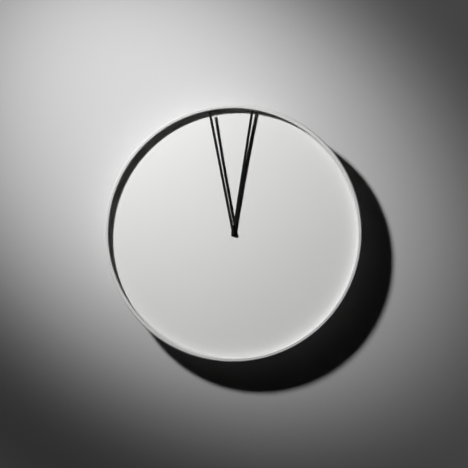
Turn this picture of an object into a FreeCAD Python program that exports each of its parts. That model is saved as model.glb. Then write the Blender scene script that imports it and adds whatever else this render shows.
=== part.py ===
import FreeCAD, Part
import math
import os

# Plain round wall clock: a deep white drum with a full round lip, a gently domed dial set down
# inside it and two equal stick hands. The drum is open behind: the movement is clipped to the dial's
# back, and a steel bar with a keyhole hangs the clock. Millimetres. The work is laid out as the clock
# is seen on the wall: x to the right, y up, z from the wall towards the viewer. place() then stands
# it up, so that the dial faces -Y, +Z is up and the origin lies on the hands' axis in the wall plane.

# Drum case
case_diameter = 350.0
case_depth = 45.0
case_wall = 1.8
lip_thickness = 5.4
lip_bands = 5
dial_recess = 9.6
inner_wall_draft = 2.0

# Dial, and the blocks bonded to the drum behind its edge
dial_thickness = 1.5
dial_rise = 4.4
dial_fit = 0.3
dial_hole = 5.5
retainer_count = 4
retainer_length = 14.0
retainer_reach = 4.0
retainer_height = 5.0

# Hooks on the dial's back that clip over the movement's ledges
hook_thickness = 1.6
hook_width = 8.0
hook_spacing = 30.0
hook_overlap = 1.2
hook_clearance = 0.15

# Hanger: a bar with a keyhole on two hexagonal posts
hanger_inset = 53.2
hanger_recess = 1.5
hanger_thickness = 1.5
hanger_length = 96.0
hanger_width = 26.0
hanger_clip = 5.0
keyhole_head = 9.0
keyhole_slot = 4.6
keyhole_drop = 10.0
post_spacing = 76.0
post_across_flats = 8.0

# Hands
hand_clearance = 1.2
hand_width = 2.7
hand_thickness = 0.8
minute_hand_angle = 101.0
hour_hand_angle = 81.2
hour_hand_height = 2.7
minute_hand_gap = 2.0
hour_eye = 5.9
minute_eye = 3.5
collet_lift = 0.3

# Quartz movement housing
movement_side = 56.0
movement_depth = 16.0
movement_gap = 0.4
housing_wall = 1.2
front_wall = 1.0
housing_corner = 2.0
base_depth = 10.0
bay_wall = 1.0
bay_edge = 10.9
ledge_reach = 2.5
ledge_thickness = 2.0

# Battery and its contacts
battery_diameter = 14.3
battery_length = 49.5
battery_button = 5.5
battery_button_height = 1.0
battery_seat = 0.25
contact_thickness = 0.4
contact_width = 9.0

# Shafts, concentric about the hands' axis
minute_arbor = 3.0
minute_tip = 1.5
minute_tip_length = 1.4
hour_pipe = 4.8
running_clearance = 0.07
press_clearance = 0.02
arbor_diameter = 0.9
minute_wheel_post = 1.2
pivot_depth = 0.6
pivot_float = 0.1

# Wheel train, from the rotor to the centre wheel, and the motion works of the hands
rotor_teeth = 6
rotor_module = 0.33
intermediate_teeth = 30
intermediate_pinion_teeth = 6
seconds_module = 0.42
seconds_teeth = 36
seconds_pinion_teeth = 6
third_teeth = 45
third_pinion_teeth = 6
centre_module = 0.32
centre_teeth = 48
cannon_teeth = 12
cannon_module = 0.33
minute_wheel_teeth = 36
minute_pinion_teeth = 8
hour_teeth = 32
setting_teeth = 12
third_direction = 30.0
intermediate_direction = 110.0
rotor_direction = 150.0
minute_wheel_direction = 190.0
setting_direction = 180.0
wheel_thickness = 0.7
pinion_overhang = 0.2
addendum_share = 0.7
dedendum_share = 1.1

# Levels inside the movement, each counted back from the inside of its front wall
hour_wheel_level = 0.8
minute_wheel_level = 2.1
centre_wheel_level = 3.9
third_wheel_level = 6.0
seconds_wheel_level = 7.7
intermediate_wheel_level = 9.3
bridge_level = 11.6
clutch_gap = 0.1
clutch_hub = 4.6
clutch_spring_thickness = 0.3
clutch_spring_diameter = 8.0
clutch_arm_width = 1.0
clutch_arms = 3
arbor_tail = 0.7

# Motor and electronics
magnet_diameter = 5.8
magnet_height = 3.0
magnet_level = 6.0
stator_hole = 6.6
stator_web = 0.8
stator_thickness = 1.0
stator_level = 7.0
stator_arm = 4.0
stator_arm_low = 10.2
stator_left = 18.0
stator_right = 6.0
coil_height = 22.0
coil_core = 3.0
coil_diameter = 7.0
coil_flange = 8.0
coil_flange_thickness = 0.8
bridge_thickness = 1.0
bridge_left = 23.0
bridge_right = 21.0
bridge_low = 9.4
bridge_high = 16.5
bridge_post = 3.6
bridge_pin = 1.6
bridge_posts = ((-21.0, 7.0), (19.0, -6.0), (19.0, 11.5))
board_left = 9.5
board_right = 25.0
board_low = 14.6
board_high = 25.6
board_thickness = 1.0
board_level = 4.6
board_boss = 3.6
board_bosses = ((11.8, 23.3), (22.8, 17.0))
chip_side = 5.0
chip_height = 1.2
chip_at = (15.5, 17.6)
crystal_length = 6.0
crystal_width = 2.4
crystal_height = 1.6
crystal_at = (18.0, 23.0)

# Setting knob
setting_shaft = 2.0
setting_knob_diameter = 10.0
setting_knob_height = 3.4
setting_knob_gap = 0.4
setting_knob_grips = 18
setting_grip_depth = 0.5

# Cuts run past the faces that they open by this much
overrun = 1.0

half_turn = 180.0
full_turn = 360.0

case_radius = case_diameter / 2
lip_radius = lip_thickness / 2
dial_level = case_depth - dial_recess
lip_inner_radius = case_radius - lip_thickness
shoulder_radius = lip_inner_radius - inner_wall_draft
bore_radius = case_radius - case_wall
dial_radius = bore_radius - dial_fit
dome_sphere = (shoulder_radius ** 2 + dial_rise ** 2) / (2 * dial_rise)
dial_centre_level = dial_level + dial_rise - press_clearance

hand_length = lip_inner_radius - hand_clearance

hanger_height = bore_radius - hanger_inset
hanger_front = hanger_recess + hanger_thickness
hanger_middle = hanger_height + keyhole_drop / 2

movement_front = dial_centre_level - dial_thickness - movement_gap
movement_rear = movement_front - movement_depth
seam_level = movement_front - base_depth
wall_inside = movement_front - front_wall
ledge_edge = movement_side / 2 + ledge_reach
bridge_front = wall_inside - bridge_level + bridge_thickness
bridge_rear = wall_inside - bridge_level
inner_half = movement_side / 2 - housing_wall
bay_outside = bay_edge + bay_wall

hour_hand_low = dial_centre_level + hour_hand_height
hour_hand_high = hour_hand_low + hand_thickness
minute_hand_low = hour_hand_high + minute_hand_gap

centre_distance = (centre_teeth + third_pinion_teeth) * centre_module / 2
third_module = 2 * centre_distance / (third_teeth + seconds_pinion_teeth)
seconds_distance = (seconds_teeth + intermediate_pinion_teeth) * seconds_module / 2
rotor_distance = (intermediate_teeth + rotor_teeth) * rotor_module / 2
motion_distance = (cannon_teeth + minute_wheel_teeth) * cannon_module / 2
hour_module = 2 * motion_distance / (minute_pinion_teeth + hour_teeth)
setting_distance = (minute_wheel_teeth + setting_teeth) * cannon_module / 2


def step(point, distance, degrees):
    """The point that lies a distance away in a direction."""
    turn = math.radians(degrees)
    return (point[0] + distance * math.cos(turn), point[1] + distance * math.sin(turn))


centre = (0, 0)
third_at = step(centre, centre_distance, third_direction)
intermediate_at = step(centre, seconds_distance, intermediate_direction)
rotor_at = step(intermediate_at, rotor_distance, rotor_direction)
minute_wheel_at = step(centre, motion_distance, minute_wheel_direction)
setting_at = step(minute_wheel_at, setting_distance, setting_direction)


def vector(x, y, z):
    return FreeCAD.Vector(x, y, z)


def rod(diameter, low, high, at=centre):
    """A round bar along z, between two levels."""
    return Part.makeCylinder(diameter / 2, high - low, vector(at[0], at[1], low))


def tube(outer, inner, low, high, at=centre):
    bore = rod(inner, low - overrun, high + overrun, at)
    return rod(outer, low, high, at).cut(bore)


def block(left, right, bottom, top, low, high):
    return Part.makeBox(right - left, top - bottom, high - low, vector(left, bottom, low))


def rounded_block(left, right, bottom, top, low, high, corner):
    body = block(left, right, bottom, top, low, high)
    upright = [e for e in body.Edges if abs(e.tangentAt(e.FirstParameter).z) > 0.5]
    return body.makeFillet(corner, upright)


def square_post(side, low, high, at):
    return block(at[0] - side / 2, at[0] + side / 2, at[1] - side / 2, at[1] + side / 2, low, high)


def outline_solid(points, low, high):
    """A straight-sided outline given in x and y, between two levels."""
    corners = [vector(x, y, low) for x, y in points]
    face = Part.Face(Part.makePolygon(corners + corners[:1]))
    return face.extrude(vector(0, 0, high - low))


def turned(points):
    """A closed section of radii and levels, turned a full circle about the hands' axis."""
    corners = [vector(radius, 0, level) for radius, level in points]
    face = Part.Face(Part.makePolygon(corners + corners[:1]))
    return face.revolve(vector(0, 0, 0), vector(0, 0, 1), full_turn)


def turned_about(shape, degrees):
    shape.rotate(vector(0, 0, 0), vector(0, 0, 1), degrees)
    return shape


def cut_all(body, tools):
    return body.cut(Part.makeCompound(tools))


def fuse_all(pieces):
    return pieces[0].multiFuse(pieces[1:]).removeSplitter()


def dome_level(radius):
    """Height of the dial's front face at a distance from the axis."""
    fall = dome_sphere - math.sqrt(dome_sphere ** 2 - radius ** 2)
    return dial_centre_level - fall


def dome_ball(top):
    """The dome's sphere with its highest point at a level. It lies on its side, so its seam is far away."""
    ball = Part.makeSphere(dome_sphere)
    ball.rotate(vector(0, 0, 0), vector(0, 1, 0), half_turn / 2)
    ball.translate(vector(0, 0, top - dome_sphere))
    return ball


def case_ring():
    """Drum wall with a round lip. The lip's inner side slopes in to the shoulder over the dial."""
    lip_centre = (case_radius - lip_radius, case_depth - lip_radius)
    lip = [step(lip_centre, lip_radius, half_turn * i / lip_bands) for i in range(lip_bands + 1)]
    return turned([
        (case_radius, 0),
        *lip,
        (shoulder_radius, dial_level),
        (bore_radius, dial_level),
        (bore_radius, 0),
    ])


def hook_places():
    """Side of the movement, and height, of each hook."""
    return [(side, height) for side in (-1, 1) for height in (-hook_spacing / 2, hook_spacing / 2)]


def movement_hook(side, height):
    """An upright on the dial's back with a nose under the movement's ledge."""
    inside = ledge_edge + hook_clearance
    outside = inside + hook_thickness
    nose_top = movement_front - ledge_thickness - hook_clearance
    nose_low = nose_top - hook_thickness
    top = dome_level(math.hypot(outside, height)) - dial_thickness / 2
    profile = [
        (inside, top),
        (inside, nose_top),
        (ledge_edge - hook_overlap, nose_top),
        (inside, nose_low),
        (outside, nose_low),
        (outside, top),
    ]
    corners = [vector(side * x, height - hook_width / 2, z) for x, z in profile]
    face = Part.Face(Part.makePolygon(corners + corners[:1]))
    return face.extrude(vector(0, hook_width, 0))


def dial():
    """Domed disc that seats against the edge of the case's shoulder, with hooks for the movement."""
    low = dome_level(dial_radius) - dial_thickness - overrun
    plate = rod(2 * dial_radius, low, dial_centre_level + overrun).common(dome_ball(dial_centre_level))
    plate = plate.cut(dome_ball(dial_centre_level - dial_thickness))
    hooks = [movement_hook(side, height) for side, height in hook_places()]
    return plate.fuse(hooks).cut(rod(dial_hole, low, dial_centre_level + overrun))


def dial_retainers():
    """Curved blocks behind the dial's edge, bonded to the drum."""
    outer = bore_radius - press_clearance
    high = dome_level(dial_radius) - dial_thickness
    low = high - retainer_height
    made = []
    for i in range(retainer_count):
        ring = tube(2 * outer, 2 * (outer - retainer_reach), low, high)
        half = retainer_length / 2
        piece = ring.common(block(0, case_radius, -half, half, low, high))
        made.append(turned_about(piece, full_turn * (i + 0.5) / retainer_count))
    return Part.makeCompound(made)


def keyhole(low, high):
    """A screw-head hole with a slot that rises from it."""
    top = hanger_height + keyhole_drop
    head = rod(keyhole_head, low, high, (0, hanger_height))
    slot = block(-keyhole_slot / 2, keyhole_slot / 2, hanger_height, top, low, high)
    end = rod(keyhole_slot, low, high, (0, top))
    return head.fuse([slot, end]).removeSplitter()


def hanger_bar():
    """Flat steel bar with clipped corners and a keyhole."""
    half = hanger_length / 2
    low = hanger_middle - hanger_width / 2
    high = hanger_middle + hanger_width / 2
    points = [
        (half - hanger_clip, low),
        (half, low + hanger_clip),
        (half, high - hanger_clip),
        (half - hanger_clip, high),
        (hanger_clip - half, high),
        (-half, high - hanger_clip),
        (-half, low + hanger_clip),
        (hanger_clip - half, low),
    ]
    bar = outline_solid(points, hanger_recess, hanger_front)
    return bar.cut(keyhole(hanger_recess - overrun, hanger_front + overrun))


def hanger_posts():
    """Hexagonal posts from the dial's back to the hanger bar."""
    corner = post_across_flats / math.sqrt(3)
    made = []
    for at in ((-post_spacing / 2, hanger_middle), (post_spacing / 2, hanger_middle)):
        top = dome_level(math.hypot(*at) + corner) - dial_thickness
        outline = [step(at, corner, full_turn * i / 6) for i in range(6)]
        made.append(outline_solid(outline, hanger_front, top))
    return Part.makeCompound(made)


def arbor_places():
    """The arbors that have their own pivot hole in the front wall and in the bridge."""
    return (third_at, intermediate_at, rotor_at)


def wheel_rear(level):
    return wall_inside - level - wheel_thickness


def movement_base():
    """Front half of the housing: front wall with the pivot holes, posts, battery bay wall and ledges."""
    half = movement_side / 2
    shell = rounded_block(-half, half, -half, half, seam_level, movement_front, housing_corner)
    hollow = block(-inner_half, inner_half, -inner_half, inner_half, seam_level - overrun, wall_inside)
    pieces = [shell.cut(hollow)]
    pieces.append(block(-inner_half, inner_half, -bay_outside, -bay_edge, seam_level, wall_inside))
    for at in bridge_posts:
        pieces.append(square_post(bridge_post, bridge_front, wall_inside, at))
        pieces.append(square_post(bridge_pin, bridge_rear, bridge_front, at))
    board_front = wall_inside - board_level + board_thickness
    for at in board_bosses:
        pieces.append(square_post(board_boss, board_front, wall_inside, at))
    pieces.append(rod(minute_wheel_post, wheel_rear(minute_wheel_level), wall_inside, minute_wheel_at))
    ledge_low = movement_front - ledge_thickness
    ledge_half = half - housing_corner
    for left, right in ((-ledge_edge, -inner_half), (inner_half, ledge_edge)):
        pieces.append(block(left, right, -ledge_half, ledge_half, ledge_low, movement_front))
    body = fuse_all(pieces)
    holes = [rod(hour_pipe + 2 * running_clearance, wall_inside - overrun, movement_front + overrun)]
    pivot = arbor_diameter + 2 * running_clearance
    for at in arbor_places():
        holes.append(rod(pivot, wall_inside - overrun, wall_inside + pivot_depth, at))
    return cut_all(body, holes)


def battery_centre():
    """Place across the bay and level of the battery's axis."""
    radius = battery_diameter / 2
    across = -bay_outside - battery_seat - radius
    return across, wall_inside - battery_seat - radius


def movement_cover():
    """Rear half of the housing, with a window over the battery and a hole for the setting knob."""
    half = movement_side / 2
    shell = rounded_block(-half, half, -half, half, movement_rear, seam_level, housing_corner)
    high = movement_rear + housing_wall
    hollow = block(-inner_half, inner_half, -inner_half, inner_half, high, seam_level + overrun)
    rib = block(-inner_half, inner_half, -bay_outside, -bay_edge, high, seam_level)
    body = shell.cut(hollow).fuse(rib).removeSplitter()
    low = movement_rear - overrun
    window = block(-inner_half, inner_half, -inner_half, -bay_outside, low, high)
    hole = rod(setting_shaft + 2 * running_clearance, low, high + overrun, setting_at)
    return cut_all(body, [window, hole])


def battery():
    """One AA cell lying across the bay, its button to the right."""
    across, level = battery_centre()
    start = -battery_length / 2
    can = Part.makeCylinder(
        battery_diameter / 2, battery_length, vector(start, across, level), vector(1, 0, 0)
    )
    button = Part.makeCylinder(
        battery_button / 2, battery_button_height, vector(-start, across, level), vector(1, 0, 0)
    )
    return can.fuse(button).removeSplitter()


def contact_positive():
    """Flat square plate on the bay's end wall."""
    across, level = battery_centre()
    half = contact_width / 2
    left = inner_half - contact_thickness
    return block(left, inner_half, across - half, across + half, level - half, level + half)


def contact_negative():
    """Bent leaf that springs the battery against the other contact."""
    across, level = battery_centre()
    start = -inner_half
    end = -battery_length / 2
    low = level - contact_width / 2
    high = level + contact_width / 2
    points = (
        (start, low),
        (start + contact_thickness, low),
        (end, level),
        (start + contact_thickness, high),
        (start, high),
        (end - contact_thickness, level),
    )
    corners = [vector(x, across - contact_width / 2, z) for x, z in points]
    face = Part.Face(Part.makePolygon(corners + corners[:1]))
    return face.extrude(vector(0, contact_width, 0))


def mesh_phase(teeth_a, phase_a, teeth_b, direction):
    """Angle of a tooth of wheel b that leaves it in mesh with wheel a, which lies the other way."""
    lead = phase_a - direction
    return direction + half_turn + half_turn / teeth_b - lead * teeth_a / teeth_b


def star(count, valley_radius, peak_radius, phase, low, high, at):
    """A disc with straight-sided points; one of them lies along the phase."""
    pitch = full_turn / count
    outline = []
    for i in range(count):
        middle = phase + i * pitch
        outline.append(step(at, valley_radius, middle - pitch / 2))
        outline.append(step(at, peak_radius, middle))
    return outline_solid(outline, low, high)


def toothed_disc(teeth, module, phase, low, high, at):
    pitch_radius = teeth * module / 2
    root = pitch_radius - dedendum_share * module
    tip = pitch_radius + addendum_share * module
    return star(teeth, root, tip, phase, low, high, at)


def wheel(teeth, module, phase, level, at):
    """A wheel whose front face lies at a level behind the front wall."""
    return toothed_disc(teeth, module, phase, wheel_rear(level), wall_inside - level, at)


def pinion(teeth, module, phase, level, low, at):
    """A pinion from a lower face to a little past the wheel that it meshes with at a level."""
    return toothed_disc(teeth, module, phase, low, wall_inside - level + pinion_overhang, at)


def train_arbor(at, front=wall_inside + pivot_depth - pivot_float):
    return rod(arbor_diameter, bridge_rear + pivot_float, front, at)


rotor_mesh = rotor_direction + half_turn
intermediate_phase = mesh_phase(rotor_teeth, rotor_mesh, intermediate_teeth, rotor_mesh)
intermediate_mesh = intermediate_direction + half_turn
seconds_phase = mesh_phase(intermediate_pinion_teeth, intermediate_mesh, seconds_teeth, intermediate_mesh)
third_phase = mesh_phase(seconds_pinion_teeth, third_direction, third_teeth, third_direction)
third_mesh = third_direction + half_turn
centre_phase = mesh_phase(third_pinion_teeth, third_mesh, centre_teeth, third_mesh)
minute_wheel_phase = mesh_phase(
    cannon_teeth, minute_wheel_direction, minute_wheel_teeth, minute_wheel_direction
)
setting_phase = mesh_phase(minute_wheel_teeth, minute_wheel_phase, setting_teeth, setting_direction)
minute_pinion_mesh = minute_wheel_direction + half_turn
hour_phase = mesh_phase(minute_pinion_teeth, minute_pinion_mesh, hour_teeth, minute_pinion_mesh)


def rotor():
    """Rotor pinion on its arbor, under the seat of the magnet."""
    low = wheel_rear(intermediate_wheel_level) - pinion_overhang
    return fuse_all([
        train_arbor(rotor_at),
        pinion(rotor_teeth, rotor_module, rotor_mesh, intermediate_wheel_level, low, rotor_at),
    ])


def rotor_magnet():
    high = wall_inside - magnet_level + pinion_overhang
    return tube(magnet_diameter, arbor_diameter + 2 * press_clearance, high - magnet_height, high, rotor_at)


def intermediate_wheel():
    at = intermediate_at
    low = wall_inside - intermediate_wheel_level
    return fuse_all([
        wheel(intermediate_teeth, rotor_module, intermediate_phase, intermediate_wheel_level, at),
        pinion(intermediate_pinion_teeth, seconds_module, intermediate_mesh, seconds_wheel_level, low, at),
        train_arbor(at),
    ])


def seconds_wheel():
    """Its front pivot turns inside the rear end of the minute arbor."""
    low = wall_inside - seconds_wheel_level
    front = minute_arbor_rear() + pivot_depth
    return fuse_all([
        wheel(seconds_teeth, seconds_module, seconds_phase, seconds_wheel_level, centre),
        pinion(seconds_pinion_teeth, third_module, third_direction, third_wheel_level, low, centre),
        train_arbor(centre, front),
    ])


def third_wheel():
    at = third_at
    low = wall_inside - third_wheel_level
    return fuse_all([
        wheel(third_teeth, third_module, third_phase, third_wheel_level, at),
        pinion(third_pinion_teeth, centre_module, third_mesh, centre_wheel_level, low, at),
        train_arbor(at),
    ])


def centre_wheel():
    """Turns on the minute arbor with friction, so that the hands can be set."""
    low = wheel_rear(centre_wheel_level)
    bore = rod(minute_arbor + 2 * running_clearance, low - overrun, low + wheel_thickness + overrun)
    return wheel(centre_teeth, centre_module, centre_phase, centre_wheel_level, centre).cut(bore)


def minute_arbor_rear():
    return wheel_rear(centre_wheel_level) - clutch_spring_thickness - arbor_tail


def minute_shaft():
    """Minute arbor with the slim tip for the hand, and the cannon pinion down to the centre wheel."""
    rear = minute_arbor_rear()
    shoulder = minute_hand_low - minute_tip_length
    low = wall_inside - centre_wheel_level + clutch_gap
    body = fuse_all([
        rod(minute_arbor, rear, shoulder),
        rod(minute_tip, shoulder, minute_hand_low),
        pinion(cannon_teeth, cannon_module, minute_wheel_direction, minute_wheel_level, low, centre),
    ])
    pivot = arbor_diameter + 2 * running_clearance
    return body.cut(rod(pivot, rear - overrun, rear + pivot_depth + pivot_float))


def clutch_spring():
    """Three-armed spring washer that presses the centre wheel against the cannon pinion."""
    high = wheel_rear(centre_wheel_level) - clutch_gap
    low = high - clutch_spring_thickness
    pieces = [rod(clutch_hub, low, high)]
    for i in range(clutch_arms):
        arm = block(0, clutch_spring_diameter / 2, -clutch_arm_width / 2, clutch_arm_width / 2, low, high)
        pieces.append(turned_about(arm, full_turn * i / clutch_arms))
    bore = rod(minute_arbor + 2 * press_clearance, low - overrun, high + overrun)
    return fuse_all(pieces).cut(bore)


def minute_wheel():
    """Turns on a fixed post of the housing; its pinion reaches forward to the hour wheel."""
    at = minute_wheel_at
    low = wheel_rear(minute_wheel_level)
    body = fuse_all([
        wheel(minute_wheel_teeth, cannon_module, minute_wheel_phase, minute_wheel_level, at),
        pinion(minute_pinion_teeth, hour_module, minute_pinion_mesh, hour_wheel_level, low, at),
    ])
    return body.cut(rod(minute_wheel_post + 2 * running_clearance, low - overrun, wall_inside, at))


def hour_wheel():
    """Hour wheel on the pipe that carries the hour hand through the dial."""
    low = wheel_rear(hour_wheel_level)
    body = wheel(hour_teeth, hour_module, hour_phase, hour_wheel_level, centre)
    pipe = rod(hour_pipe, low, hour_hand_high)
    bore = rod(minute_arbor + 2 * running_clearance, low - overrun, hour_hand_high + overrun)
    return fuse_all([body, pipe]).cut(bore)


def stick_hand(degrees, eye, low):
    """A slim flat bar from the axis to its tip, with a small round eye."""
    bar = block(0, hand_length, -hand_width / 2, hand_width / 2, low, low + hand_thickness)
    return turned_about(bar, degrees).fuse(rod(eye, low, low + hand_thickness)).removeSplitter()


def hour_hand():
    """Its eye fits round the hour pipe."""
    hole = rod(hour_pipe + 2 * press_clearance, hour_hand_low - overrun, hour_hand_high + overrun)
    return stick_hand(hour_hand_angle, hour_eye, hour_hand_low).cut(hole)


def hour_hand_collet():
    low = dial_centre_level + collet_lift
    return tube(hour_eye, hour_pipe + 2 * press_clearance, low, hour_hand_low)


def minute_hand():
    return stick_hand(minute_hand_angle, minute_eye, minute_hand_low)


def minute_hand_bush():
    """Blind bush under the minute hand's eye, pressed on the arbor's tip."""
    low = minute_hand_low - minute_tip_length + press_clearance
    bore = rod(minute_tip + 2 * press_clearance, low - overrun, minute_hand_low)
    return rod(minute_eye, low, minute_hand_low).cut(bore)


def setting_knob():
    """Knob on the back of the movement; its pinion turns the minute wheel."""
    high = movement_rear - setting_knob_gap
    low = high - setting_knob_height
    radius = setting_knob_diameter / 2
    valley = radius - setting_grip_depth
    pinion_low = wheel_rear(minute_wheel_level) - pinion_overhang
    return fuse_all([
        star(setting_knob_grips, valley, radius, 0, low, high, setting_at),
        rod(setting_shaft, high, pinion_low, setting_at),
        pinion(setting_teeth, cannon_module, setting_phase, minute_wheel_level, pinion_low, setting_at),
    ])


def train_bridge():
    """Plate that carries the rear pivots, on the posts of the housing."""
    plate = block(-bridge_left, bridge_right, -bridge_low, bridge_high, bridge_rear, bridge_front)
    through = (bridge_rear - overrun, bridge_front + overrun)
    pivot = arbor_diameter + 2 * running_clearance
    holes = [rod(pivot, *through, at) for at in (centre, *arbor_places())]
    holes.append(rod(setting_shaft + 2 * running_clearance, *through, setting_at))
    for at in bridge_posts:
        holes.append(square_post(bridge_pin + 2 * press_clearance, *through, at))
    return cut_all(plate, holes)


def stator():
    """Soft iron yoke round the rotor magnet, with a leg up to each end of the coil."""
    high = wall_inside - stator_level
    low = high - stator_thickness
    arm_top = stator_arm_low + stator_arm
    leg_top = coil_height + coil_core / 2
    pieces = [
        rod(stator_hole + 2 * stator_web, low, high, rotor_at),
        block(-stator_left, stator_right, stator_arm_low, arm_top, low, high),
        block(-stator_left, -stator_left + stator_arm, stator_arm_low, leg_top, low, high),
        block(stator_right - stator_arm, stator_right, stator_arm_low, leg_top, low, high),
    ]
    hole = rod(stator_hole, low - overrun, high + overrun, rotor_at)
    return fuse_all(pieces).cut(hole)


def coil_ends():
    """Where the coil starts and ends between the stator's legs, and its level."""
    left = -stator_left + stator_arm + pivot_float
    right = stator_right - stator_arm - pivot_float
    return left, right, wall_inside - stator_level - stator_thickness / 2


def coil_block(side, left, right, level):
    half = side / 2
    return block(left, right, coil_height - half, coil_height + half, level - half, level + half)


def coil_bobbin():
    left, right, level = coil_ends()
    return fuse_all([
        coil_block(coil_core, left, right, level),
        coil_block(coil_flange, left, left + coil_flange_thickness, level),
        coil_block(coil_flange, right - coil_flange_thickness, right, level),
    ])


def coil_winding():
    left, right, level = coil_ends()
    start = left + coil_flange_thickness
    end = right - coil_flange_thickness
    wound = Part.makeCylinder(
        coil_diameter / 2, end - start, vector(start, coil_height, level), vector(1, 0, 0)
    )
    return wound.cut(coil_block(coil_core, start - overrun, end + overrun, level))


def board_rear():
    return wall_inside - board_level


def circuit_board():
    low = board_rear()
    return block(board_left, board_right, board_low, board_high, low, low + board_thickness)


def driver_chip():
    return square_post(chip_side, board_rear() - chip_height, board_rear(), chip_at)


def quartz_crystal():
    x, y = crystal_at
    left = x - crystal_length / 2
    low = y - crystal_width / 2
    rear = board_rear()
    return block(left, left + crystal_length, low, low + crystal_width, rear - crystal_height, rear)


def place(shape):
    """Stands the clock up on its wall: the dial faces -Y and +Z is up."""
    shape.rotate(vector(0, 0, 0), vector(1, 0, 0), 90)
    return shape


nodes = (
    case_ring, dial, dial_retainers, hanger_bar, hanger_posts, movement_base, movement_cover, train_bridge,
    battery, contact_positive, contact_negative, circuit_board, driver_chip, quartz_crystal, coil_bobbin,
    coil_winding, stator, rotor, rotor_magnet, intermediate_wheel, seconds_wheel, third_wheel,
    centre_wheel, minute_shaft, clutch_spring, minute_wheel, hour_wheel, hour_hand, hour_hand_collet,
    minute_hand, minute_hand_bush, setting_knob,
)

os.makedirs("parts", exist_ok=True)
for make in nodes:
    shape = place(make())
    shape.exportStep("parts/" + make.__name__ + ".step")
    print(make.__name__, "volume", round(shape.Volume, 2), "valid", shape.isValid())

print("third arbor", third_at, "intermediate", intermediate_at, "rotor", rotor_at)
print("minute wheel", minute_wheel_at, "setting knob", setting_at)
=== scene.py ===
import math

import bmesh
import bpy
from mathutils import Matrix, Vector


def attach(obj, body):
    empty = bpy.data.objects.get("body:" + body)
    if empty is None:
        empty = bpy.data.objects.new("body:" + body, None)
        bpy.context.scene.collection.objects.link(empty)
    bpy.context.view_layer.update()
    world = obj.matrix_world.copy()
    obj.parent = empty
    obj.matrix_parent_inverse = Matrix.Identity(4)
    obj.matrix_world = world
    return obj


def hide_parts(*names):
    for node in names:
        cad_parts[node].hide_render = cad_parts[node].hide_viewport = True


# Plain round wall clock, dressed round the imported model. New pieces are modelled in millimetres
# as the clock is seen on the wall: x to the right, y up, z from the wall towards the viewer.
# STAND then turns them into the frame: metres, the dial facing -Y and +Z up.

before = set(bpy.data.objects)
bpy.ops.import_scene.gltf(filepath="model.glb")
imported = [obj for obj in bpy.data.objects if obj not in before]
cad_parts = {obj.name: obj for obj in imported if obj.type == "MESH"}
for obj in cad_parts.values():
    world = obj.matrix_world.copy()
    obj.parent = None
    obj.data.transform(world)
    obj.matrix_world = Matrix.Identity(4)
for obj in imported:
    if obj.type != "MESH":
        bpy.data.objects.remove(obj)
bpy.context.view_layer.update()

STAND = Matrix.Rotation(math.radians(90), 4, "X") @ Matrix.Scale(0.001, 4)
FULL_TURN = math.tau
FINE = 0.002
FLAT_ANGLE = math.radians(0.5)
SHARP_ANGLE = math.radians(38)
ROUND_STEPS = 64

# Drum and dial. The lip is flat, slopes away outside, and its inner wall ends above the dial.
CASE_RADIUS = 175.0
CASE_DEPTH = 45.0
CASE_WALL = 1.8
LIP = 5.4
SLOPE = 1.8
SEAT_RISE = 0.8
DIAL_LEVEL = 35.4
SHOULDER_RADIUS = 167.6
DIAL_RADIUS = 172.9
DIAL_TOP = 39.78
DIAL_THICKNESS = 1.5
DIAL_HOLE = 5.5
DOME_SPHERE = 3194.2
DRUM_STEPS = 288
DOME_STEPS = 14

# Ribs on the dial's back
RIB_RINGS = (62.0, 118.0)
RIB_WIDTH = 1.2
RIB_ROOT = 0.4
RING_HEIGHT = 1.2
SPOKES = 16
SPOKE_SPAN = (63.0, 118.5)
SPOKE_HEIGHT = 1.0

# Hooks on the dial's back
LEDGE_EDGE = 30.5
LEDGE_DEPTH = 2.15
HOOK_HEIGHTS = (-15.0, 15.0)
HOOK_WIDTH = 8.0
HOOK_THICKNESS = 1.6
HOOK_GAP = 0.15
NOSE_REACH = 1.2
BRACE_REACH = 3.6
BRACE_INSET = 0.8
BRACE_WIDTH = 1.0

# Hands, turned from the x axis
HAND_REACH = 168.4
HAND_WIDTH = 3.6
HAND_SOFT = 0.12
HOUR_TURN = math.radians(81.2)
HOUR_LOW = 41.5
HOUR_HIGH = 43.3
HOUR_START = 2.5
HOUR_RING = 2.95
PIPE_BORE = 2.42
MINUTE_TURN = math.radians(101.0)
MINUTE_LOW = 45.28
MINUTE_DEPTH = 0.8

# Hub: the hour hand's square collar with a low foot, and the minute hand's closed cap
HUB_HALF = 2.8
HUB_LOW = 40.1
HUB_HIGH = 42.2
HUB_SOFT = 0.15
HUB_STEPS = 32
FOOT_HALF = 2.75
FOOT_BOTTOM = -4.1
FOOT_TOP = -2.5
FOOT_DEPTH = 0.6
CAP_RADIUS = 1.25
CAP_BORE = 0.77
CAP_RISE = 0.3
CAP_DEPTH = 1.38
CLOSE_FIT = 0.02

# Hanger and its screws
HANGER_MIDDLE = 125.0
HANGER_REAR = 1.5
POST_SIDE = 38.0
SCREW_RADIUS = 3.3
SCREW_TOP = 0.16
SCREW_STEPS = 48
SLOT_FLOOR = 0.8
SLOT_HALF = 0.4
SLOT_RADIUS = 2.85
SLOT_TURN = 0.3

# Movement
MOVEMENT_FRONT = 37.88
MOVEMENT_REAR = 21.88
MARK_ROOT = 0.1
MARK_SOFT = 0.12
BATTERY_HEIGHT = -19.3
BATTERY_LEVEL = 29.48
BATTERY_RADIUS = 7.15
BATTERY_HALF = 24.75
KNOB_AT = (-15.72, -1.375)
KNOB_REAR = 18.08

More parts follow.
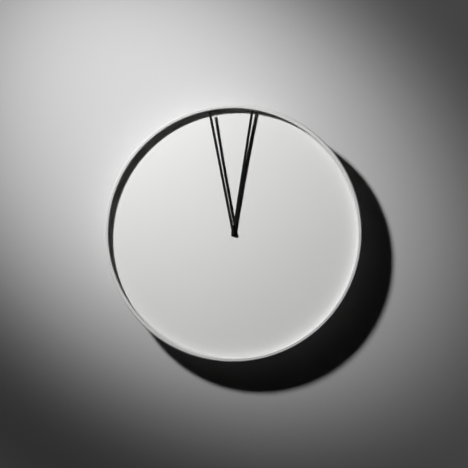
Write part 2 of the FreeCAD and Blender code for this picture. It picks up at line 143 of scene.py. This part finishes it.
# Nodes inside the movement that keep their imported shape, by the finish they take on
WORKS = {
    "train_plastic": (
        "coil_bobbin", "rotor", "intermediate_wheel", "seconds_wheel", "third_wheel",
        "centre_wheel", "minute_wheel",
    ),
    "black_acetal": ("hour_wheel",),
    "housing_black": ("train_bridge",),
    "board_laminate": ("circuit_board",),
    "chip_resin": ("driver_chip",),
    "crystal_can": ("quartz_crystal",),
    "coil_copper": ("coil_winding",),
    "soft_iron": ("stator",),
    "magnet_ferrite": ("rotor_magnet",),
    "arbor_brass": ("minute_shaft",),
    "contact_nickel": ("clutch_spring",),
}

# Backdrop, in metres: a wall with a slanted pool of light painted into its colour round the
# clock, painted shade outside it and a painted glow far out, and a floor below it
WALL_HALF = 4.0
WALL_BACK = 0.0006
WALL_PALE = (0.666, 0.666, 0.666)
WALL_PAINTED_SHADE = 0.07
PAINTED_POOL_AT = (-0.080, 0, 0.081)
PAINTED_POOL_SIZE = (0.431, 1.0, 0.295)
PAINTED_POOL_TURN = math.radians(31.6)
PAINTED_POOL_EDGE = 4.0
PAINTED_GLOW_GREY = 0.22
PAINTED_GLOW_REACH = 0.65
PAINTED_GLOW_EDGE = 6.0
FLOOR_HALF = 8.0
FLOOR_LEVEL = -1.1
FLOOR_GREY = 0.62

# Lights and camera, in metres and watts
WINDOW_AT = Vector((-0.82, -0.967, 0.82))
WINDOW_AIM = Vector((0.400, 0, -0.047))
WINDOW_POWER = 113.0
WINDOW_CONE = math.radians(64.0)
WINDOW_SIZE = 0.065
ROOM_BEFORE = 0.003
ROOM_BEHIND = 2.3
ROOM_STEP = (0.90, 0.97)
ROOM_SEEN = 0.80
CAMERA_AT = (0.00094, -2.0, -0.00084)
CAMERA_LENS = 111.1
CAMERA_SENSOR = 36.0
CAMERA_REACH = 50.0


class Wire:
    """One output of a node. Arithmetic on wires adds Math nodes, so patterns are expressions."""

    def __init__(self, nodes, socket):
        self.nodes = nodes
        self.socket = socket

    def maths(self, operation, first, second):
        return self.nodes.node("ShaderNodeMath", {"operation": operation}, {0: first, 1: second})

    def __add__(self, other):
        return self.maths("ADD", self, other)

    def __sub__(self, other):
        return self.maths("SUBTRACT", self, other)

    def __rsub__(self, other):
        return self.maths("SUBTRACT", other, self)

    def __mul__(self, other):
        return self.maths("MULTIPLY", self, other)

    def __truediv__(self, other):
        return self.maths("DIVIDE", self, other)

    def __pow__(self, other):
        return self.maths("POWER", self, other)

    def __rpow__(self, other):
        return self.maths("POWER", other, self)

    def __gt__(self, other):
        return self.maths("GREATER_THAN", self, other)

    def __lt__(self, other):
        return self.maths("LESS_THAN", self, other)

    __radd__ = __add__
    __rmul__ = __mul__


class Nodes:
    """The emptied node tree of a material or a world, and the one method that fills it."""

    def __init__(self, owner):
        owner.use_nodes = True
        self.tree = owner.node_tree
        self.tree.nodes.clear()

    def node(self, kind, settings=None, values=None, output=0, stops=()):
        """Adds a node: its settings and stops first, then its sockets' values or wires."""
        made = self.tree.nodes.new(kind)
        for name, value in (settings or {}).items():
            setattr(made, name, value)
        for number, (position, colour) in enumerate(stops):
            made.color_ramp.elements[number].position = position
            made.color_ramp.elements[number].color = colour
        for name, value in (values or {}).items():
            if isinstance(value, Wire):
                self.tree.links.new(value.socket, made.inputs[name])
            else:
                made.inputs[name].default_value = value
        return Wire(self, made.outputs[output]) if made.outputs else None

    def mix(self, share, first, second):
        """A colour between two others."""
        return self.node("ShaderNodeMix", {"data_type": "RGBA"}, {0: share, 6: first, 7: second}, 2)

    def length(self, vector):
        return self.node("ShaderNodeVectorMath", {"operation": "LENGTH"}, {0: vector}, "Value")


class Finish(Nodes):
    """A material. Its patterns read Object coordinates, which are metres on every piece."""

    def __init__(self, name):
        self.material = bpy.data.materials.new(name)
        super().__init__(self.material)
        self.place = self.node("ShaderNodeTexCoord", output="Object")

    def noise(self, scale, detail=2.0, stretch=(1, 1, 1)):
        """Soft noise from 0 to 1, with features about 1 / scale metres across."""
        place = self.node("ShaderNodeMapping", {}, {"Vector": self.place, "Scale": stretch})
        values = {"Vector": place, "Scale": scale, "Detail": detail}
        return self.node("ShaderNodeTexNoise", {}, values)

    def bump(self, height, depth, strength):
        values = {"Strength": strength, "Distance": depth, "Height": height}
        return self.node("ShaderNodeBump", {}, values)

    def surface(self, colour, roughness, height, depth, strength, **constants):
        """Ends the material in one Principled shader, with a bump from a height."""
        values = {"Base Color": colour, "Roughness": roughness, **constants}
        values["Normal"] = self.bump(height, depth, strength)
        self.end(self.node("ShaderNodeBsdfPrincipled", {}, values))
        return self.material

    def end(self, shader):
        self.node("ShaderNodeOutputMaterial", {}, {"Surface": shader})


def plain(red, green, blue):
    return (red, green, blue, 1.0)


def grey(level):
    return plain(level, level, level)


def shade(colour, factor):
    return plain(*(part * factor for part in colour))


def fade(distance, edge):
    """1 near a middle and 0 beyond a distance of 1, with a steeper step for a higher edge."""
    return 2.718 ** (distance ** edge * -1.0)


def coat_of(name, colour, roughness, peel, peel_depth, patch=0.03, **constants):
    """Sprayed or powder paint: an even colour with a fine, softly dimpled skin."""
    finish = Finish(name)
    wide = finish.noise(7.0, 3.0)
    fine = finish.noise(peel, 2.0)
    tint = finish.mix(wide, shade(colour, 1 - patch), shade(colour, 1 + patch))
    return finish.surface(tint, roughness - 0.04 + 0.08 * wide, fine, peel_depth, 0.5, **constants)


def moulded(name, colour, roughness, grain=2600.0, depth=0.00006):
    """Moulded plastic with a spark-eroded grain."""
    finish = Finish(name)
    flow = finish.noise(40.0, 3.0)
    grains = finish.noise(grain, 3.0)
    tint = finish.mix(flow, shade(colour, 0.88), shade(colour, 1.12))
    return finish.surface(tint, roughness + 0.12 * (grains - 0.5), grains, depth, 0.8)


def metal(name, colour, roughness, streak=(1, 1, 1), scale=900.0, depth=0.00002, spots=0.06):
    """Bare or plated metal, its brushing or rolling marks drawn out along one direction."""
    finish = Finish(name)
    marks = finish.noise(scale, 4.0, streak)
    cloud = finish.noise(60.0, 4.0)
    tint = finish.mix(cloud, shade(colour, 1 - spots), shade(colour, 1 + spots))
    rough = roughness + 0.14 * (marks - 0.5) + 0.10 * (cloud - 0.5)
    return finish.surface(tint, rough, marks, depth, 0.5, Metallic=1.0)


def cell_skin():
    """Battery: a plain grey sleeve with a paler band at the button's end, and bare steel ends."""
    finish = Finish("cell_skin")
    along = finish.node("ShaderNodeSeparateXYZ", {}, {"Vector": finish.place}, "X")
    sleeve = (along > -0.0239) * (along < 0.0239)
    band = (along > 0.0128) * (along < 0.0236)
    ink = finish.mix(band, plain(0.070, 0.080, 0.095), plain(0.42, 0.43, 0.44))
    steel = plain(0.60, 0.60, 0.59)
    marks = finish.noise(900.0, 3.0, (0.2, 1, 1))
    colour = finish.mix(sleeve, steel, ink)
    metallic = 1.0 - sleeve * (1.0 - 0.5 * band)
    return finish.surface(colour, 0.26 + 0.12 * marks, marks, 0.00002, 0.4, Metallic=metallic)


def winding():
    """Enamelled copper wire, laid in turns along the coil, with painted shade in the grooves
    between the turns.
    """
    finish = Finish("winding")
    turns = finish.node(
        "ShaderNodeTexWave", {"wave_type": "BANDS", "bands_direction": "X", "wave_profile": "SIN"},
        {
            "Vector": finish.place, "Scale": 1600.0,
            "Distortion": 0.3, "Detail": 1.0, "Detail Scale": 300.0,
        },
    )
    # Painted shade: the copper is darker in the grooves between the turns, where the bump is low.
    colour = finish.mix(turns, plain(0.16, 0.045, 0.018), plain(0.62, 0.23, 0.09))
    return finish.surface(colour, 0.28 + 0.1 * turns, turns, 0.00004, 0.9, Metallic=0.9)


def board_green():
    """Solder mask over a few broad copper tracks."""
    finish = Finish("board_green")
    flat = finish.node(
        "ShaderNodeMapping", {"vector_type": "POINT"},
        {"Vector": finish.place, "Rotation": (math.radians(90), 0, 0)},
    )
    tracks = finish.node(
        "ShaderNodeTexBrick", {"offset": 0.5, "squash": 1.0},
        {
            "Vector": flat, "Color1": grey(1), "Color2": grey(1), "Mortar": grey(0),
            "Scale": 220.0, "Mortar Size": 0.09, "Mortar Smooth": 0.1,
        }, "Fac",
    )
    weave = finish.noise(1500.0, 2.0)
    colour = finish.mix(tracks, plain(0.012, 0.085, 0.035), plain(0.03, 0.19, 0.075))
    return finish.surface(colour, 0.34 + 0.1 * weave, tracks + 0.2 * weave, 0.00004, 0.5)


FINISHES = {
    "case_white": coat_of(
        "drum_coat", (0.66, 0.66, 0.655), 0.8, 1100.0, 0.00005, **{"Specular IOR Level": 0.25}
    ),
    "dial_white": coat_of("dial_coat", (0.80, 0.80, 0.79), 0.58, 2800.0, 0.00003, 0.015),
    "hand_black": coat_of(
        "hand_coat", (0.004, 0.004, 0.0045), 0.62, 3200.0, 0.00002, 0.1,
        **{"Specular IOR Level": 0.15},
    ),
    "retainer_plastic": moulded("retainer_grain", (0.55, 0.55, 0.53), 0.5),
    "zinc_steel": metal("zinc_plate", (0.62, 0.63, 0.64), 0.34, (0.15, 1, 1)),
    "post_aluminium": metal("drawn_aluminium", (0.74, 0.75, 0.76), 0.30, (1, 0.12, 1)),
    "housing_black": moulded("housing_grain", (0.020, 0.020, 0.021), 0.46),
    "train_plastic": moulded("acetal", (0.70, 0.67, 0.60), 0.36, 1800.0, 0.00002),
    "black_acetal": moulded("black_acetal", (0.012, 0.012, 0.012), 0.5, 1800.0, 0.00002),
    "arbor_brass": metal("turned_brass", (0.78, 0.56, 0.24), 0.24, (1, 0.3, 1)),
    "battery_jacket": cell_skin(),
    "contact_nickel": metal("nickel_strip", (0.66, 0.63, 0.57), 0.26, (1, 1, 0.15)),
    "board_laminate": board_green(),
    "chip_resin": moulded("chip_epoxy", (0.018, 0.018, 0.018), 0.55, 3500.0, 0.00004),
    "crystal_can": metal("crystal_can", (0.70, 0.70, 0.70), 0.22, (0.2, 1, 1)),
    "coil_copper": winding(),
    "soft_iron": metal("annealed_iron", (0.42, 0.41, 0.40), 0.42, (1, 1, 0.3)),
    "magnet_ferrite": moulded("sintered_ferrite", (0.055, 0.052, 0.052), 0.62, 1200.0, 0.00005),
    "knob_plastic": moulded("knob_grain", (0.55, 0.55, 0.52), 0.40),
}


def turn_by(bm, angle, axis="Z"):
    matrix = Matrix.Rotation(angle, 3, axis)
    bmesh.ops.rotate(bm, verts=bm.verts, cent=(0, 0, 0), matrix=matrix)


def move_by(bm, x, y, z):
    bmesh.ops.translate(bm, verts=bm.verts, vec=(x, y, z))


def spin(bm, geometry, steps, angle=FULL_TURN, centre=(0, 0, 0), axis=(0, 0, 1)):
    return bmesh.ops.spin(
        bm, geom=geometry, cent=centre, axis=axis, dvec=(0, 0, 0), angle=angle, steps=steps,
        use_merge=angle == FULL_TURN, use_normal_flip=False, use_duplicate=False,
    )


def draw_out(bm, faces, reach):
    """Extrudes faces along a direction and leaves their first copy as the other end."""
    drawn = bmesh.ops.extrude_face_region(bm, geom=faces)
    verts = [v for v in drawn["geom"] if isinstance(v, bmesh.types.BMVert)]
    bmesh.ops.translate(bm, verts=verts, vec=reach)


def soften(bm, edges, offset, segments=2):
    """Rounds edges."""
    bmesh.ops.bevel(
        bm, geom=edges, offset=offset, offset_type="OFFSET", segments=segments, profile=0.5,
        affect="EDGES", clamp_overlap=True, material=-1,
    )


def sharp_edges(faces, degrees=30):
    """The edges between these faces that fold by more than an angle."""
    limit = math.radians(degrees)
    found = {e for f in faces for e in f.edges if len(e.link_faces) == 2}
    return sorted((e for e in found if e.calc_face_angle() > limit), key=lambda e: e.index)


def ring_edges(bm, radius, level):
    """The edges of one corner of a turned section."""
    return [
        e for e in bm.edges
        if all(abs(v.co.xy.length - radius) < FINE and abs(v.co.z - level) < FINE for v in e.verts)
    ]


def section(bm, points):
    """A closed line through points given as radius and level."""
    verts = [bm.verts.new((radius, 0, level)) for radius, level in points]
    edges = [bm.edges.new(pair) for pair in zip(verts, verts[1:] + verts[:1])]
    return verts + edges


def join(bm, new):
    """Adds one mesh to another."""
    bmesh.ops.recalc_face_normals(new, faces=new.faces)
    mesh = bpy.data.meshes.new("joined")
    new.to_mesh(mesh)
    new.free()
    bm.from_mesh(mesh)
    bpy.data.meshes.remove(mesh)


def lathe(bm, points, rounds=(), steps=ROUND_STEPS, at=(0, 0)):
    """Turns a section about the z axis. Rounds are corner number, offset and segments."""
    new = bmesh.new()
    spin(new, section(new, points), steps)
    bmesh.ops.remove_doubles(new, verts=new.verts, dist=FINE)
    for corner, offset, segments in rounds:
        soften(new, ring_edges(new, *points[corner]), offset, segments)
    move_by(new, *at, 0)
    join(bm, new)


def turned(bm, points, soft, steps=ROUND_STEPS, at=(0, 0)):
    """Turns a section and rounds its second and third corners alike."""
    lathe(bm, points, [(1, soft, 2), (2, soft, 2)], steps, at)


def block(bm, low, high, soft, turn=0.0):
    """A box between two corners, with softened edges, turned about the z axis at the end."""
    new = bmesh.new()
    size = Vector(high) - Vector(low)
    bmesh.ops.create_cube(new, size=1.0)
    bmesh.ops.scale(new, verts=new.verts, vec=size)
    move_by(new, *(Vector(high) + Vector(low)) / 2)
    soften(new, new.edges[:], soft)
    turn_by(new, turn)
    join(bm, new)


def prism(bm, corners, reach, soft):
    """A flat outline, drawn out along a direction, with softened edges."""
    new = bmesh.new()
    face = new.faces.new([new.verts.new(c) for c in corners])
    draw_out(new, [face], reach)
    bmesh.ops.recalc_face_normals(new, faces=new.faces)
    soften(new, new.edges[:], soft)
    join(bm, new)


def mark(bm, low, high, face, height):
    """A low bar that stands up from a rear face, with its root inside it."""
    block(bm, (*low, face - height), (*high, face + MARK_ROOT), MARK_SOFT)


def piece(name, bm, body, slot, *stands_for):
    """Stands a finished mesh up in the frame, gives it its material and its body."""
    bm.transform(STAND)
    mesh = bpy.data.meshes.new(name)
    bm.to_mesh(mesh)
    bm.free()
    mesh.shade_smooth()
    mesh.set_sharp_from_angle(angle=SHARP_ANGLE)
    mesh.materials.append(FINISHES[slot])
    made = bpy.data.objects.new(name, mesh)
    bpy.context.scene.collection.objects.link(made)
    even = made.modifiers.new("even_normals", "WEIGHTED_NORMAL")
    even.keep_sharp = True
    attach(made, body)
    if stands_for:
        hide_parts(*stands_for)


def from_solid(node, soft, segments=2, fold=30):
    """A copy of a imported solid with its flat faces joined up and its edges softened."""
    bm = bmesh.new()
    bm.from_mesh(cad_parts[node].data)
    bm.transform(STAND.inverted())
    bmesh.ops.remove_doubles(bm, verts=bm.verts, dist=FINE)
    bmesh.ops.dissolve_limit(
        bm, angle_limit=FLAT_ANGLE, use_dissolve_boundaries=False, verts=bm.verts, edges=bm.edges,
    )
    soften(bm, sharp_edges(bm.faces, fold), soft, segments)
    return bm


def drum():
    """Drum wall with a lip over the dial that slopes away to the outside."""
    bm = bmesh.new()
    lip_edge, bore = CASE_RADIUS - LIP, CASE_RADIUS - CASE_WALL
    points = [
        (CASE_RADIUS, 0), (CASE_RADIUS, CASE_DEPTH - SLOPE), (CASE_RADIUS - SLOPE, CASE_DEPTH),
        (lip_edge, CASE_DEPTH), (lip_edge, DIAL_LEVEL + SEAT_RISE), (SHOULDER_RADIUS, DIAL_LEVEL),
        (bore, DIAL_LEVEL), (bore, 0),
    ]
    rounds = [
        (0, 0.5, 3), (7, 0.5, 3), (4, 0.3, 3), (5, 0.1, 2), (1, 0.7, 4), (2, 0.7, 4), (3, 0.6, 4),
    ]
    lathe(bm, points, rounds, DRUM_STEPS)
    piece("drum", bm, "case", "case_white", "case_ring")


def dome_level(radius):
    """The level of the dial's face."""
    return DIAL_TOP - DOME_SPHERE + math.sqrt(DOME_SPHERE ** 2 - radius ** 2)


def domed_disc():
    """The dial's plate: two equal domes, one its thickness behind the other, joined all round."""
    bm = bmesh.new()
    start = math.asin(DIAL_HOLE / 2 / DOME_SPHERE)
    reach = math.asin(DIAL_RADIUS / DOME_SPHERE) - start
    ends = []
    for top in (DIAL_TOP, DIAL_TOP - DIAL_THICKNESS):
        low = top - DOME_SPHERE
        first = bm.verts.new((DIAL_HOLE / 2, 0, low + DOME_SPHERE * math.cos(start)))
        swept = spin(bm, [first], DOME_STEPS, reach, (0, 0, low), (0, 1, 0))
        ends.append((first, swept["geom_last"][0]))
    for front, back in zip(*ends):
        bm.edges.new((front, back))
    spin(bm, bm.verts[:] + bm.edges[:], DRUM_STEPS)
    bmesh.ops.remove_doubles(bm, verts=bm.verts, dist=FINE)
    bmesh.ops.recalc_face_normals(bm, faces=bm.faces)
    soften(bm, sharp_edges(bm.faces, 60), 0.2, 2)
    return bm


def hook(bm, side, height):
    """An upright with a nose for the movement's ledge, braced by two ribs."""
    inside = LEDGE_EDGE + HOOK_GAP
    outside = inside + HOOK_THICKNESS
    nose = MOVEMENT_FRONT - LEDGE_DEPTH
    end = nose - HOOK_THICKNESS
    root = dome_level(outside) - DIAL_THICKNESS / 2
    profile = [
        (inside, root), (inside, nose), (LEDGE_EDGE - NOSE_REACH, nose), (inside, end),
        (outside, end), (outside, root),
    ]
    low = height - HOOK_WIDTH / 2
    prism(bm, [(side * x, low, z) for x, z in profile], (0, HOOK_WIDTH, 0), 0.18)
    bite = outside - 0.3
    brace = [(bite, root), (bite, nose - 0.4), (outside + BRACE_REACH, root)]
    for rib in (low + BRACE_INSET, low + HOOK_WIDTH - BRACE_INSET - BRACE_WIDTH):
        prism(bm, [(side * x, rib, z) for x, z in brace], (0, BRACE_WIDTH, 0), 0.12)


def back_ribs(bm):
    """Low ribs on the dial's back: two rings and a star between them."""
    for inner in RIB_RINGS:
        outer = inner + RIB_WIDTH
        back = dome_level(inner) - DIAL_THICKNESS
        root, top = back + RIB_ROOT, back - RING_HEIGHT
        points = [(inner, root), (inner, top), (outer, top), (outer, root)]
        turned(bm, points, 0.3, DRUM_STEPS // 2)
    near, far = SPOKE_SPAN
    high, low = dome_level(near) - DIAL_THICKNESS, dome_level(far) - DIAL_THICKNESS
    profile = [
        (near, high + RIB_ROOT), (near, high - SPOKE_HEIGHT),
        (far, low - SPOKE_HEIGHT), (far, low + RIB_ROOT),
    ]
    for number in range(SPOKES):
        angle = FULL_TURN * (number + 0.5) / SPOKES
        out = Vector((math.cos(angle), math.sin(angle), 0))
        across = Vector((-math.sin(angle), math.cos(angle), 0)) * (RIB_WIDTH / 2)
        corners = [out * radius + Vector((0, 0, level)) - across for radius, level in profile]
        prism(bm, corners, across * 2, 0.25)


def dial_plate():
    """The dial, with its hooks and ribs behind, and the blocks that hold it in the drum."""
    bm = domed_disc()
    for side in (-1, 1):
        for height in HOOK_HEIGHTS:
            hook(bm, side, height)
    back_ribs(bm)
    piece("dial_plate", bm, "case", "dial_white", "dial")
    blocks = from_solid("dial_retainers", 0.5, 3)
    piece("retainer_blocks", blocks, "case", "retainer_plastic", "dial_retainers")


def pan_screw(bm, at):
    """A domed head with a driver's slot: two halves beside the slot, and the slot's floor."""
    seat = HANGER_REAR + 0.05
    points = [
        (0, SCREW_TOP), (1.7, SCREW_TOP), (2.9, 0.62), (SCREW_RADIUS, 1.2), (SCREW_RADIUS, seat),
        (0, seat),
    ]
    for side in (-1, 1):
        half = bmesh.new()
        lathe(half, points, [(1, 0.3, 3), (2, 0.5, 3), (3, 0.2, 2)], SCREW_STEPS)
        cut = bmesh.ops.bisect_plane(
            half, geom=half.verts[:] + half.edges[:] + half.faces[:], dist=0.0001,
            plane_co=(0, side * SLOT_HALF, 0), plane_no=(0, -side, 0), clear_outer=True,
        )
        rim = [e for e in cut["geom_cut"] if isinstance(e, bmesh.types.BMEdge)]
        bmesh.ops.contextual_create(half, geom=rim)
        turn_by(half, SLOT_TURN)
        move_by(half, *at, 0)
        join(bm, half)
    floor = [(0, SLOT_FLOOR), (SLOT_RADIUS, SLOT_FLOOR), (SLOT_RADIUS, seat), (0, seat)]
    lathe(bm, floor, (), SCREW_STEPS, at)


def hanger():
    """Keyhole bar, its hexagonal posts, and the two pan-head screws that hold it."""
    piece("hanger_plate", from_solid("hanger_bar", 0.25, 3), "case", "zinc_steel", "hanger_bar")
    posts = from_solid("hanger_posts", 0.35, 2)
    piece("post_pair", posts, "case", "post_aluminium", "hanger_posts")
    bm = bmesh.new()
    for side in (-1, 1):
        pan_screw(bm, (side * POST_SIDE, HANGER_MIDDLE))
    piece("hanger_screws", bm, "case", "zinc_steel")


def square_collar(bm, half, bore, low, high, soft):
    """A square block about the hands' axis, with a round bore."""
    new = bmesh.new()
    bmesh.ops.create_circle(new, segments=4, radius=half * math.sqrt(2))
    turn_by(new, FULL_TURN / 8)
    bmesh.ops.subdivide_edges(new, edges=new.edges[:], cuts=HUB_STEPS // 4 - 1)
    bmesh.ops.create_circle(new, segments=HUB_STEPS, radius=bore)
    bmesh.ops.bridge_loops(new, edges=new.edges[:])
    draw_out(new, new.faces[:], (0, 0, high - low))
    move_by(new, 0, 0, low)
    bmesh.ops.recalc_face_normals(new, faces=new.faces)
    sharp = sharp_edges(new.faces)
    soften(new, [e for e in sharp if all(v.co.xy.length > half - FINE for v in e.verts)], soft)
    join(bm, new)


def hands():
    """Two equal bars with square ends. The lower one is deeper and sits on a square collar."""
    half = HAND_WIDTH / 2
    bm = bmesh.new()
    points = [
        (PIPE_BORE, HOUR_LOW), (HOUR_RING, HOUR_LOW), (HOUR_RING, HOUR_HIGH),
        (PIPE_BORE, HOUR_HIGH),
    ]
    turned(bm, points, 0.1)
    low, high = (HOUR_START, -half, HOUR_LOW), (HAND_REACH, half, HOUR_HIGH)
    block(bm, low, high, HAND_SOFT, HOUR_TURN)
    piece("hour_pointer", bm, "hour_works", "hand_black", "hour_hand")

    bm = bmesh.new()
    square_collar(bm, HUB_HALF, PIPE_BORE, HUB_LOW, HUB_HIGH, HUB_SOFT)
    low = (-FOOT_HALF, FOOT_BOTTOM, HUB_LOW + CLOSE_FIT)
    high = (FOOT_HALF, FOOT_TOP, HUB_LOW + FOOT_DEPTH)
    block(bm, low, high, HUB_SOFT)
    piece("hour_collar", bm, "hour_works", "hand_black", "hour_hand_collet")

    bm = bmesh.new()
    low, high = (0, -half, MINUTE_LOW), (HAND_REACH, half, MINUTE_LOW + MINUTE_DEPTH)
    block(bm, low, high, HAND_SOFT, MINUTE_TURN)
    piece("minute_pointer", bm, "minute_works", "hand_black", "minute_hand")

    bm = bmesh.new()
    top, roof, foot = MINUTE_LOW + CAP_RISE, MINUTE_LOW + CLOSE_FIT, MINUTE_LOW - CAP_DEPTH
    points = [
        (CAP_BORE, foot), (CAP_RADIUS, foot), (CAP_RADIUS, top), (0, top), (0, roof),
        (CAP_BORE, roof),
    ]
    turned(bm, points, 0.1)
    piece("minute_cap", bm, "minute_works", "hand_black", "minute_hand_bush")


def housing():
    """The movement's two halves, with the marks and ribs of their moulds."""
    front = from_solid("movement_base", 0.2, 2)
    piece("housing_front", front, "case", "housing_black", "movement_base")
    bm = from_solid("movement_cover", 0.25, 2)
    rear = MOVEMENT_REAR
    for low, high in (
        ((-26.0, 25.2), (26.0, 26.0)), ((-26.0, 10.4), (26.0, 11.0)),
        ((-26.0, 10.7), (-25.3, 25.6)), ((25.3, 10.7), (26.0, 25.6)),
    ):
        mark(bm, low, high, rear, 0.35)
    for x in range(-16, 17, 4):
        mark(bm, (x - 0.5, 14.0), (x + 0.5, 22.0), rear, 0.3)
    knob_ring = [
        (6.6, rear + MARK_ROOT), (6.6, rear - 0.4), (7.4, rear - 0.4), (7.4, rear + MARK_ROOT),
    ]
    turned(bm, knob_ring, 0.15, at=KNOB_AT)
    mark(bm, (19.6, -8.4), (23.4, -7.6), rear, 0.3)
    mark(bm, (21.1, -9.9), (21.9, -6.1), rear, 0.3)
    mark(bm, (-24.4, -8.9), (-20.6, -8.1), rear, 0.3)
    piece("housing_rear", bm, "case", "housing_black", "movement_cover")


def cell():
    """Battery with a rolled edge at each end, a button and a shallow recess."""
    bm = bmesh.new()
    end, radius = BATTERY_HALF, BATTERY_RADIUS
    points = [
        (0, -end + 0.25), (4.6, -end + 0.25), (5.0, -end), (6.5, -end), (radius, -end + 0.7),
        (radius, end - 0.8), (6.6, end - 0.25), (5.6, end - 0.25), (5.2, end), (2.9, end),
        (2.7, end + 1.0), (0, end + 1.0),
    ]
    rounds = [
        (2, 0.2, 2), (3, 0.2, 2), (4, 0.3, 3), (5, 0.3, 3), (8, 0.2, 2), (9, 0.15, 2), (10, 0.3, 3),
    ]
    lathe(bm, points, rounds, 96)
    turn_by(bm, FULL_TURN / 4, "Y")
    move_by(bm, 0, BATTERY_HEIGHT, BATTERY_LEVEL)
    piece("cell", bm, "case", "battery_jacket", "battery")
    for name, node in (("plus_plate", "contact_positive"), ("minus_spring", "contact_negative")):
        piece(name, from_solid(node, 0.08, 2), "case", "contact_nickel", node)


def knob():
    """Setting knob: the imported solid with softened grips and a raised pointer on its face."""
    bm = from_solid("setting_knob", 0.1, 2, 40)
    x, y = KNOB_AT
    mark(bm, (x - 0.4, y - 2.6), (x + 0.4, y + 1.6), KNOB_REAR, 0.35)
    head = [(x - 1.3, y + 1.2), (x + 1.3, y + 1.2), (x, y + 3.4)]
    prism(bm, [(*corner, KNOB_REAR + MARK_ROOT) for corner in head], (0, 0, -0.45), 0.1)
    piece("set_knob", bm, "setting", "knob_plastic", "setting_knob")


def works():
    """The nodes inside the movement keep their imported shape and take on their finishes."""
    for slot, nodes in WORKS.items():
        for node in nodes:
            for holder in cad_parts[node].material_slots:
                holder.material = FINISHES[slot]


def stage_plane(name, half, tilt, place, material):
    """A large flat square that isn't part of the clock. Only the camera sees it."""
    bm = bmesh.new()
    bmesh.ops.create_grid(bm, x_segments=1, y_segments=1, size=half)
    mesh = bpy.data.meshes.new(name)
    bm.to_mesh(mesh)
    bm.free()
    mesh.transform(Matrix.Translation(place) @ Matrix.Rotation(tilt, 4, "X"))
    mesh.materials.append(material)
    made = bpy.data.objects.new(name, mesh)
    bpy.context.scene.collection.objects.link(made)
    for ray in ("diffuse", "glossy", "transmission", "shadow"):
        setattr(made, "visible_" + ray, False)


def wall_finish():
    """Pale plaster with a slanted pool of light painted into its colour, painted shade outside it
    and a painted glow far out. It shows only from the front, so that the clock's back can be seen
    too.
    """
    finish = Finish("wall_painted_light")
    # Painted light: the wall's colour is bright in a slanted ellipse round the clock and painted
    # dark outside it, in place of the lamp's pool.
    pool = finish.node(
        "ShaderNodeMapping", {"vector_type": "TEXTURE"},
        {
            "Vector": finish.place, "Location": PAINTED_POOL_AT, "Rotation": (0, PAINTED_POOL_TURN, 0),
            "Scale": PAINTED_POOL_SIZE,
        },
    )
    painted_light_share = fade(finish.length(pool), PAINTED_POOL_EDGE)
    # Painted glow: an emission, though the wall is no lamp, that makes it a little lighter far from
    # the clock.
    far = 1.0 - fade(finish.length(finish.place) / PAINTED_GLOW_REACH, PAINTED_GLOW_EDGE)
    colour = finish.mix(painted_light_share, shade(WALL_PALE, WALL_PAINTED_SHADE), shade(WALL_PALE, 1.0))
    grain = finish.bump(finish.noise(300.0, 4.0), 0.0005, 0.15)
    paint = finish.node("ShaderNodeBsdfDiffuse", {}, {"Color": colour, "Normal": grain})
    glow = finish.mix(far, grey(0), grey(PAINTED_GLOW_GREY))
    painted_glow = finish.node("ShaderNodeEmission", {}, {"Color": glow})
    front = finish.node("ShaderNodeAddShader", {}, {0: paint, 1: painted_glow})
    behind = finish.node("ShaderNodeBsdfTransparent")
    facing = finish.node("ShaderNodeNewGeometry", output="Backfacing")
    finish.end(finish.node("ShaderNodeMixShader", {}, {0: facing, 1: front, 2: behind}))
    return finish.material


def floor_finish():
    finish = Finish("floor_pale")
    values = {"Color": grey(FLOOR_GREY), "Strength": 1.0}
    finish.end(finish.node("ShaderNodeEmission", {}, values))
    return finish.material


def room():
    stage_plane("wall", WALL_HALF, math.radians(90), (0, WALL_BACK, 0), wall_finish())
    stage_plane("floor", FLOOR_HALF, 0, (0, 0, FLOOR_LEVEL), floor_finish())


def window_light():
    """The one lamp, small and hard, from the upper left before the wall."""
    light = bpy.data.lights.new("window", "SPOT")
    light.energy = WINDOW_POWER
    light.spot_size = WINDOW_CONE
    light.spot_blend = 1.0
    light.shadow_soft_size = WINDOW_SIZE
    made = bpy.data.objects.new("window", light)
    made.location = WINDOW_AT
    made.rotation_euler = (WINDOW_AIM - WINDOW_AT).to_track_quat("-Z", "Y").to_euler()
    bpy.context.scene.collection.objects.link(made)


def world_light():
    """Nearly dark before the wall and bright behind it, but pale all round to the camera."""
    world = bpy.data.worlds.new("room_light")
    air = Nodes(world)
    towards = air.node("ShaderNodeTexCoord", output="Generated")
    depth = air.node("ShaderNodeSeparateXYZ", {}, {0: towards}, "Y")
    steps = zip(ROOM_STEP, (grey(ROOM_BEFORE), grey(ROOM_BEHIND)))
    glow = air.node("ShaderNodeValToRGB", {}, {0: depth * 0.5 + 0.5}, stops=steps)
    seen = air.node("ShaderNodeLightPath", output="Is Camera Ray")
    colour = air.mix(seen, glow, grey(ROOM_SEEN))
    sky = air.node("ShaderNodeBackground", {}, {"Color": colour})
    air.node("ShaderNodeOutputWorld", {}, {"Surface": sky})
    bpy.context.scene.world = world


def camera():
    data = bpy.data.cameras.new("camera")
    data.lens = CAMERA_LENS
    data.sensor_width = CAMERA_SENSOR
    data.clip_end = CAMERA_REACH
    made = bpy.data.objects.new("camera", data)
    made.location = CAMERA_AT
    made.rotation_euler = (math.radians(90), 0, 0)
    bpy.context.scene.collection.objects.link(made)
    bpy.context.scene.camera = made


bpy.context.scene.view_settings.view_transform = "Standard"
camera()
window_light()
world_light()
room()
drum()
dial_plate()
hanger()
hands()
housing()
cell()
knob()
works()
